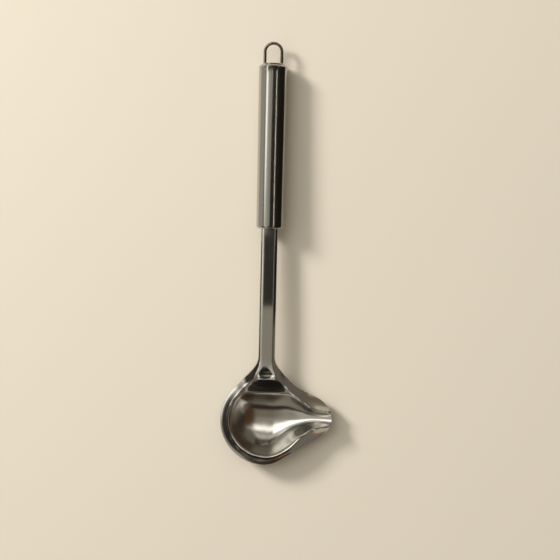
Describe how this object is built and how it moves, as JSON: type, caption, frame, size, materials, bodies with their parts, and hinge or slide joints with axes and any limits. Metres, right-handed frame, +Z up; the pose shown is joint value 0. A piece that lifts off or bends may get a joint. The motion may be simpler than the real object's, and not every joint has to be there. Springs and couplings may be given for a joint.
{
  "type": "sauce ladle",
  "caption": "Sauce ladle with a round pressed bowl, a side pouring spout, a long shank, a tubular handle and a wire hanging loop.",
  "frame": {"origin": "centre of the whole ladle's box, on the surface it lies on", "axes": "+Y along the handle towards the hanging loop, +X towards the pouring spout, +Z up out of the bowl's mouth; the ladle lies on its back"},
  "size_m": [0.0742, 0.2806, 0.0213],
  "materials": {
    "polished_sheet": "polished stainless sheet",
    "satin_tube": "satin, brushed along the handle",
    "cap_steel": "turned and lightly polished",
    "polished_wire": "polished drawn wire"
  },
  "bodies": {
    "root": {"bowl_and_shank": "polished_sheet", "handle_tube": "satin_tube", "bottom_cap": "cap_steel", "top_cap": "cap_steel", "hanging_loop": "polished_wire"}
  },
  "joints": []
}
